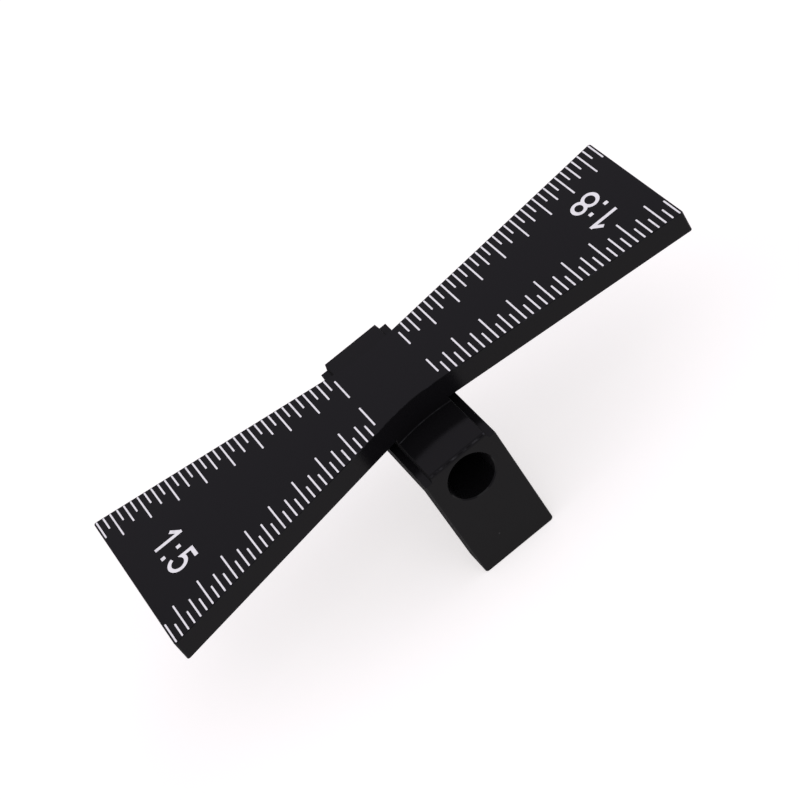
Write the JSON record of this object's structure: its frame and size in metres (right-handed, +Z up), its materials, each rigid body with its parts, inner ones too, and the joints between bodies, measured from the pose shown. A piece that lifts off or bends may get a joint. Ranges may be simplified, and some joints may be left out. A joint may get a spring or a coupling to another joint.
{
  "type": "dovetail marking gauge",
  "caption": "Black anodised dovetail marking gauge: a bow-tie rule blade with 1:5 and 1:8 wings, engraved scales, and an L-shaped fence with a blind bore.",
  "frame": {"origin": "on the plane of the leg's foot, under the middle of the fence and the middle of the blade's length", "axes": "+X along the blade towards the 1:8 wing, +Y along the fence away from the leg, +Z up, out of the face with the scales"},
  "size_m": [0.125, 0.0472, 0.0345],
  "materials": {
    "blade_anodised": "satin black anodised",
    "fence_anodised": "semi-gloss black anodised",
    "screw_steel": "black oxide",
    "white_fill": "matt white enamel in the engraving"
  },
  "bodies": {
    "root": {"blade": "blade_anodised", "fence": "fence_anodised", "fixing_screws": "screw_steel", "scale_wide_far": "white_fill", "scale_wide_near": "white_fill", "scale_slim_far": "white_fill", "scale_slim_near": "white_fill", "mark_one_to_five": "white_fill", "mark_one_to_eight": "white_fill"}
  },
  "joints": []
}
